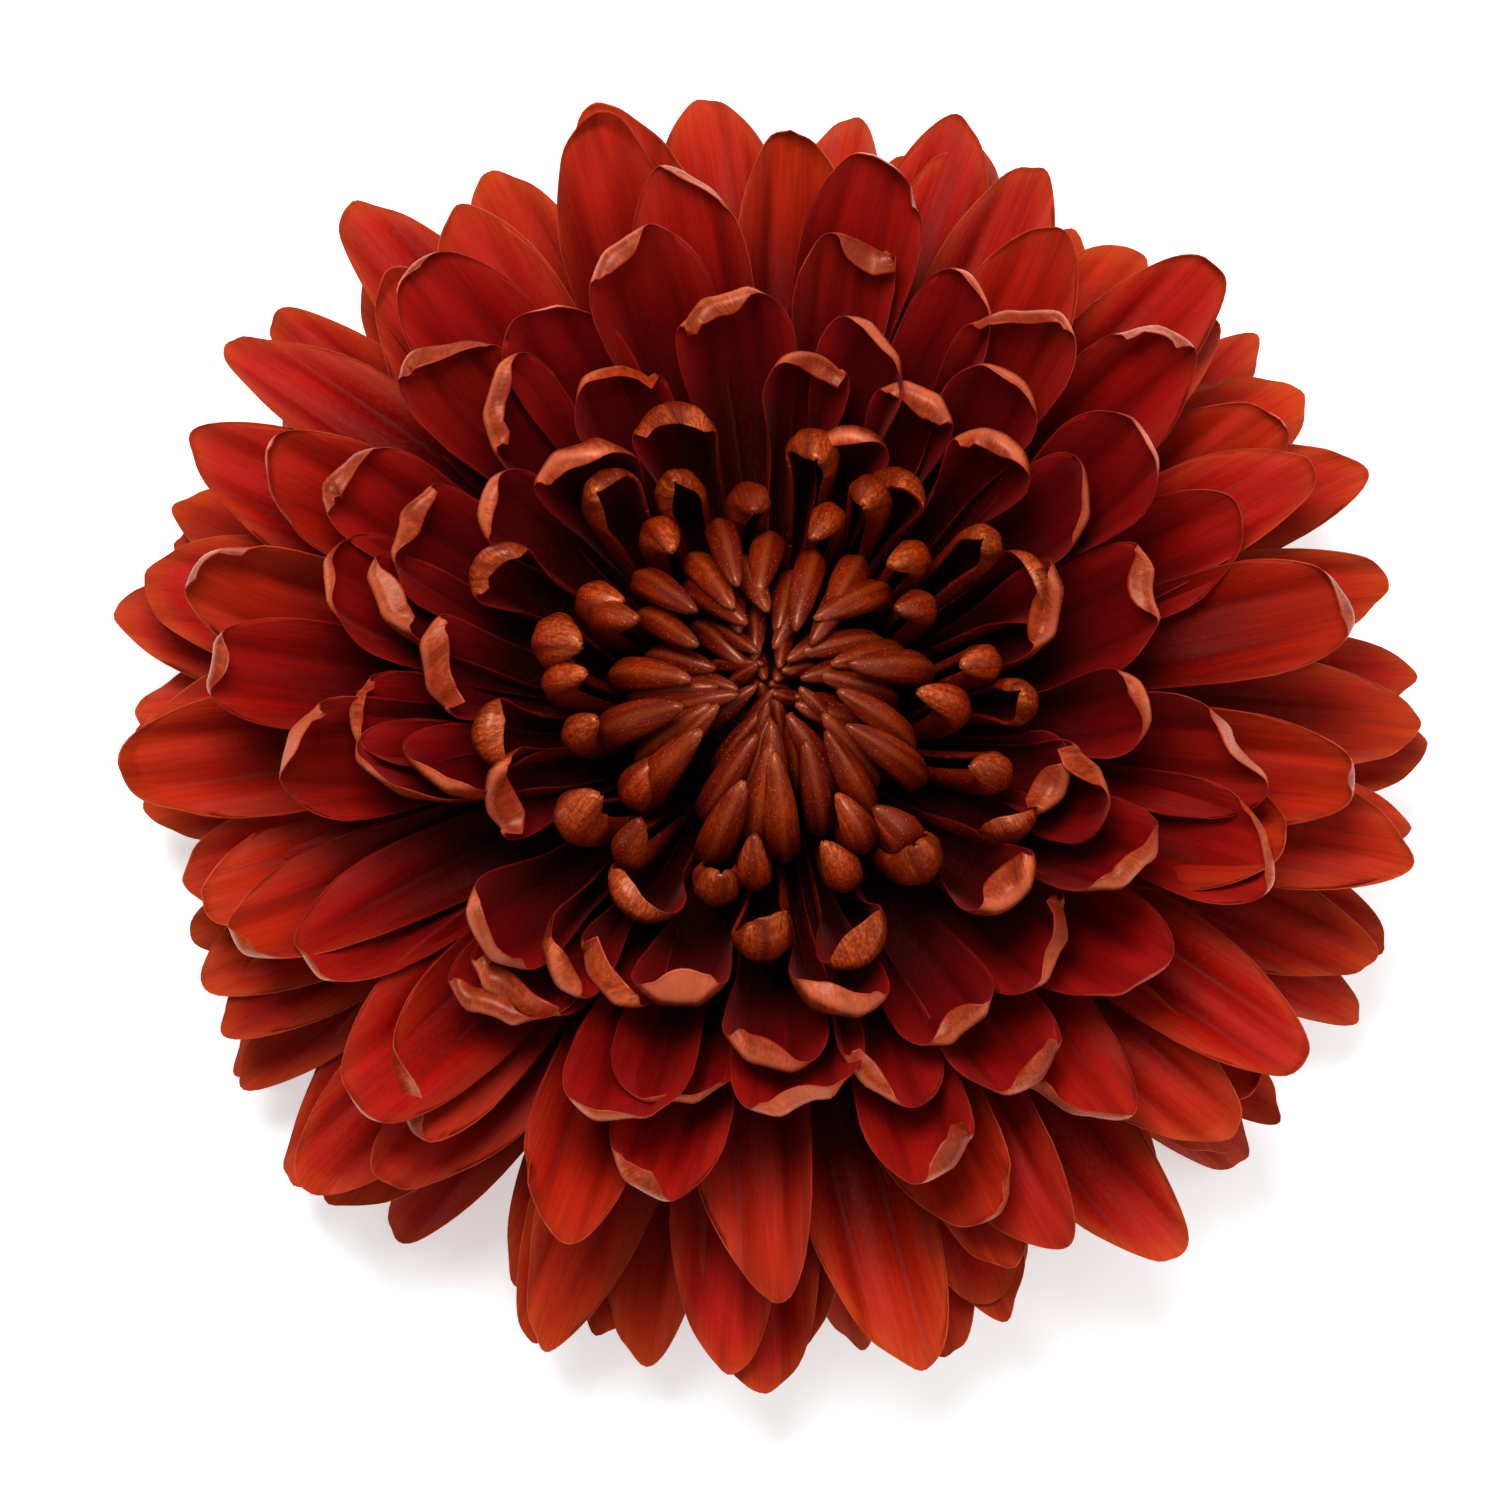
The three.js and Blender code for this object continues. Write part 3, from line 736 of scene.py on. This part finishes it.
def bronze_material():
    """Outer face and rolled lips of the open florets: satin bronze."""
    shade = Shader("floret_bronze", 0.38, 0.4, (1.0, 0.6, 0.42, 1))
    # the colour darkens toward the root with painted shade where the florets above cover it
    bronze = shade.ramp(shade.attribute("along"), [
        (0.3, (24, 3, 1)), (0.65, (104, 22, 7)), (0.88, (172, 60, 21)), (1.0, (204, 94, 48)),
    ])
    luck, roll = shade.attribute("chance"), shade.attribute("roll")
    bronze = shade.mix(shade.fade(luck, 0.0, 1.0, 0.0, 0.45), bronze, linear(126, 36, 14))
    bronze, relief = mottled(shade, bronze, 1.0)
    # a painted highlight along the fold and painted shade where the lip has rolled over, and a
    # darker red at its rim
    bronze = shade.mix(shade.fade(roll, 0.65, 1.0, 0.0, 0.5), bronze, linear(118, 32, 14))
    fold = shade.times(shade.fade(roll, 0.1, 0.45), shade.fade(roll, 0.45, 0.85, 1.0, 0.0))
    bronze = shade.mix(shade.times(fold, 0.5), bronze, linear(214, 106, 70))
    rim = shade.fade(shade.attribute("edge_mm"), 0.05, 0.5, 0.45, 0.0)
    bronze = shade.mix(rim, bronze, linear(150, 34, 16))
    return shade.finish(bronze, relief, 0.00018, 0.3)


def bud_material():
    """Outer face of the closed and quilled florets: glossier bronze, with a painted highlight
    along the ridge and painted shade on the flanks.
    """
    shade = Shader("floret_bud", 0.33, 0.5, (1.0, 0.62, 0.42, 1))
    along, rank = shade.attribute("along"), shade.attribute("rank")
    across = shade.centre_distance()
    closed = shade.fade(rank, 0.22, 0.235, 1.0, 0.0)
    # each kind darkens toward the root with painted shade where the florets around cover it
    quill = shade.ramp(along, [
        (0.3, (24, 3, 1)), (0.62, (122, 30, 8)), (0.85, (168, 58, 17)), (1.0, (190, 86, 38)),
    ])
    young = shade.ramp(along, [
        (0.25, (14, 2, 2)), (0.6, (40, 8, 5)), (0.85, (72, 22, 11)), (1.0, (144, 70, 40)),
    ])
    grown = shade.ramp(along, [
        (0.25, (20, 2, 1)), (0.5, (112, 28, 7)), (0.76, (160, 54, 14)), (0.92, (118, 40, 15)),
        (1.0, (172, 88, 50)),
    ])
    bud = shade.mix(shade.fade(rank, 0.06, 0.2), young, grown)
    luck = shade.attribute("chance")
    bud = shade.mix(shade.fade(luck, 0.3, 1.0, 0.0, 0.5), bud, linear(78, 16, 6))
    bronze, relief = mottled(shade, shade.mix(closed, quill, bud), 1.25)
    # painted highlight along the ridge of a closed floret and painted shade on its flanks
    ridge_highlight = shade.times(shade.fade(across, 0.0, 0.14, 1.0, 0.0), closed)
    bronze = shade.mix(shade.times(ridge_highlight, 0.25), bronze, linear(160, 74, 28))
    flank_shade = shade.times(shade.fade(across, 0.3, 0.75), closed)
    bronze = shade.mix(shade.times(flank_shade, 0.45), bronze, linear(72, 11, 5))
    return shade.finish(bronze, relief, 0.00022, 0.5)


def flesh_material():
    """Heart that the florets grow from: dark maroon, pitted where each one is set."""
    shade = Shader("floret_heart", 0.6, 0.2)
    place = shade.place(shade.attribute("turn_mm"), shade.attribute("along_mm"), 0.0)
    patches, pits = shade.noise(place, 0.5, 3.0, 0.6), shade.specks(place, 0.6)
    colour = shade.ramp(patches, [(0.3, (20, 3, 3)), (0.7, (52, 12, 7))])
    colour = shade.mix(shade.fade(pits, 0.1, 0.5, 0.5, 0.0), colour, linear(86, 40, 18))
    return shade.finish(colour, pits, 0.0006, 0.5)


def bract_material():
    """Bracts under the head: soft grey-green, a paler rib and a thin dry brown edge."""
    shade = Shader("bract_green", 0.6, 0.3)
    across = shade.times(shade.attribute("side_mm"), 2.5)
    ahead = shade.times(shade.attribute("along_mm"), 0.5)
    fibres = shade.noise(shade.place(across, ahead, shade.attribute("chance")), 1.2, 3.0, 0.55)
    colour = shade.ramp(shade.attribute("along"), [
        (0.0, (84, 104, 52)), (0.6, (92, 116, 56)), (1.0, (116, 126, 70)),
    ])
    colour = shade.mix(shade.fade(fibres, 0.4, 0.7, 0.0, 0.5), colour, linear(62, 84, 38))
    rib = shade.fade(shade.centre_distance(), 0.0, 0.14, 0.4, 0.0)
    colour = shade.mix(rib, colour, linear(146, 160, 100))
    dry = shade.fade(shade.attribute("edge_mm"), 0.1, 0.5, 0.8, 0.0)
    colour = shade.mix(dry, colour, linear(120, 84, 46))
    return shade.finish(colour, fibres, 0.0002, 0.4)


def cup_material():
    """Green cup that the bracts sit on: veined, with darker hollows."""
    shade = Shader("cup_green", 0.6, 0.3)
    across = shade.times(shade.attribute("turn_mm"), 1.6)
    veins = shade.noise(shade.place(across, shade.attribute("along_mm"), 0.0), 0.8, 3.0, 0.6)
    colour = shade.ramp(veins, [(0.3, (56, 76, 34)), (0.5, (82, 104, 50)), (0.75, (112, 128, 68))])
    return shade.finish(colour, veins, 0.0003, 0.4)


def stalk_material():
    """Cut stalk: green and finely streaked outside, with a pale pith inside a darker ring."""
    shade = Shader("stalk_green", 0.5, 0.35)
    across = shade.times(shade.attribute("turn_mm"), 3.0)
    ahead = shade.times(shade.attribute("along_mm"), 0.35)
    streaks = shade.noise(shade.place(across, ahead, 0.0), 1.0, 3.0, 0.55)
    colour = shade.ramp(streaks, [
        (0.3, (70, 92, 44)), (0.5, (96, 122, 62)), (0.75, (128, 146, 84)),
    ])
    radius = shade.attribute("radius_mm")
    pith = shade.ramp(shade.math("DIVIDE", radius, 2.9), [
        (0.0, (214, 214, 178)), (0.6, (196, 200, 150)), (0.72, (98, 122, 58)),
        (0.8, (160, 172, 108)),
    ])
    colour = shade.mix(shade.fade(radius, 2.25, 2.35, 1.0, 0.0), colour, pith)
    return shade.finish(colour, streaks, 0.0002, 0.4)


def add_camera(target):
    camera = bpy.data.objects.new("camera", bpy.data.cameras.new("camera"))
    bpy.context.scene.collection.objects.link(camera)
    bpy.context.scene.camera = camera
    camera.data.lens = CAMERA_LENS
    camera.data.sensor_width = 36
    elevation = math.radians(CAMERA_ELEVATION)
    away = Vector((0, -math.cos(elevation), math.sin(elevation)))
    camera.location = target + away * CAMERA_DISTANCE
    camera.rotation_euler = (math.pi / 2 - elevation, 0, 0)


def add_lights():
    for name, (place, energy, size) in LIGHTS.items():
        light = bpy.data.objects.new(name, bpy.data.lights.new(name, "AREA"))
        light.data.energy = energy
        light.data.size = size
        light.location = place
        aim = Vector(LIGHT_TARGET) - Vector(place)
        light.rotation_euler = aim.to_track_quat("-Z", "Y").to_euler()
        bpy.context.scene.collection.objects.link(light)


def add_floor():
    bpy.ops.mesh.primitive_plane_add(size=4)
    floor = bpy.context.object
    floor.name = "floor"
    shade = Shader("paper", 0.8, 0.2)
    shade.surface.inputs["Base Color"].default_value = (0.94, 0.94, 0.94, 1)
    shade.surface.inputs["Emission Color"].default_value = (1, 1, 1, 1)
    shade.surface.inputs["Emission Strength"].default_value = 0.5
    floor.data.materials.append(shade.material)


def add_sky():
    """A pale world: dim as a light, but white where it is seen past the floor."""
    world = bpy.data.worlds.new("world")
    bpy.context.scene.world = world
    world.use_nodes = True
    tree = world.node_tree
    sky = tree.nodes["Background"]
    sky.inputs["Color"].default_value = (1, 1, 1, 1)
    seen = tree.nodes.new("ShaderNodeLightPath")
    strength = tree.nodes.new("ShaderNodeMapRange")
    strength.inputs["To Min"].default_value = WORLD_LIGHT
    strength.inputs["To Max"].default_value = 1.0
    tree.links.new(seen.outputs["Is Camera Ray"], strength.inputs["Value"])
    tree.links.new(strength.outputs["Result"], sky.inputs["Strength"])


def add_studio():
    add_floor()
    add_sky()
    add_lights()
    bpy.context.scene.view_settings.view_transform = "Standard"


def place_piece(piece, material, node):
    piece.data.materials.append(material)
    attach(piece, "root")
    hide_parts(node)


def columns_across(count, crowding):
    """Places across a blade from -1 to 1, closer together to its edges."""
    turn = crowding * math.pi / 2
    return np.sin(np.linspace(-turn, turn, count)) / math.sin(turn)


def add_florets(origin):
    velvet, bronze, bud = velvet_material(), bronze_material(), bud_material()
    # rows from the root to the fold and on to the end, for each kind of blade
    bent = np.concatenate([np.linspace(0, 0.96, 21), np.linspace(1, 2, 8)])
    hooked = np.concatenate([np.linspace(0.1, 0.97, 18), np.linspace(1, 2, 15)])
    lipped = np.concatenate([np.linspace(0.1, 0.97, 12), np.linspace(1, 2, 14)])
    eased = 1 + np.sin(np.linspace(0, 1, 11) * math.pi / 2)
    plain = np.concatenate([np.linspace(0, 0.95, 12), eased])
    tube, blade = np.linspace(-1, 1, 21), columns_across(29, 0.6)
    groups = [
        ("closed_florets", 0, CENTRAL_COUNT, bent, tube, 0.3, bud, "central_floret"),
        ("quilled_florets", CENTRAL_COUNT, CUPPED_FROM, hooked, blade, 0.35, bud, "ray_floret"),
        ("cupped_florets", CUPPED_FROM, OPEN_FROM, lipped, blade, 0.35, bronze, "ray_floret"),
        ("open_florets", OPEN_FROM, SKIRT_FROM, lipped, blade, 0.4, bronze, "ray_floret"),
        ("skirt_florets", SKIRT_FROM, FLORET_COUNT, plain, blade, 0.4, bronze, "ray_floret"),
    ]
    for name, first, end, rows, columns, thickness, outside, slot in groups:
        form = floret_forms(range(first, end))
        settle(form)
        piece = blades_mesh(name, form, rows, columns, thickness, origin)
        piece.data.materials.append(velvet)
        place_piece(piece, outside, slot + "s")


def add_heart(origin):
    def lattice(turn, along):
        """Crossing spirals of small swellings, as the florets are set."""
        left, right = np.cos(21 * turn + 1.1 * along), np.cos(34 * turn - 1.1 * along)
        return 1 + 0.012 * left + 0.012 * right
    heart = turned_mesh("floret_heart", rounded(HEART, 60), 144, lattice, origin)
    place_piece(heart, flesh_material(), "ray_florets")


def add_involucre(origin):
    def ribs(turn, along):
        return 1 + 0.015 * np.cos(33 * turn) * np.clip(along / 6, 0, 1)
    cup = turned_mesh("involucre_cup", rounded(CUP, 48), 132, ribs, origin)
    place_piece(cup, cup_material(), "involucre")
    rows = np.concatenate([np.linspace(0, 0.9, 9), np.linspace(1, 2, 5)])
    bracts = blades_mesh("involucre_bracts", bract_forms(), rows, columns_across(13, 0.85),
                         BRACT_THICKNESS, origin)
    place_piece(bracts, bract_material(), "involucre")


def add_stalk(origin):
    def ribs(turn, along):
        """Eight ribs along the side, which fade out before both ends."""
        fading = np.clip(along / 0.6, 0, 1) * np.clip((STALK_PATH - along) / 0.6, 0, 1)
        return 1 - 0.06 * (1 - np.cos(8 * turn)) * fading
    stalk = turned_mesh("cut_stalk", rounded(STALK, 40), 96, ribs, origin)
    place_piece(stalk, stalk_material(), "stem")


def main():
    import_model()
    low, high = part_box("stem")
    middle = [(low[axis] + high[axis]) / 2 for axis in (0, 1)]
    origin = np.array([*middle, 0]) / MM
    add_florets(origin)
    add_heart(origin)
    add_involucre(origin)
    add_stalk(origin)
    add_studio()
    add_camera(Vector((*middle, 0)) + Vector(TARGET_OFFSET))


main()
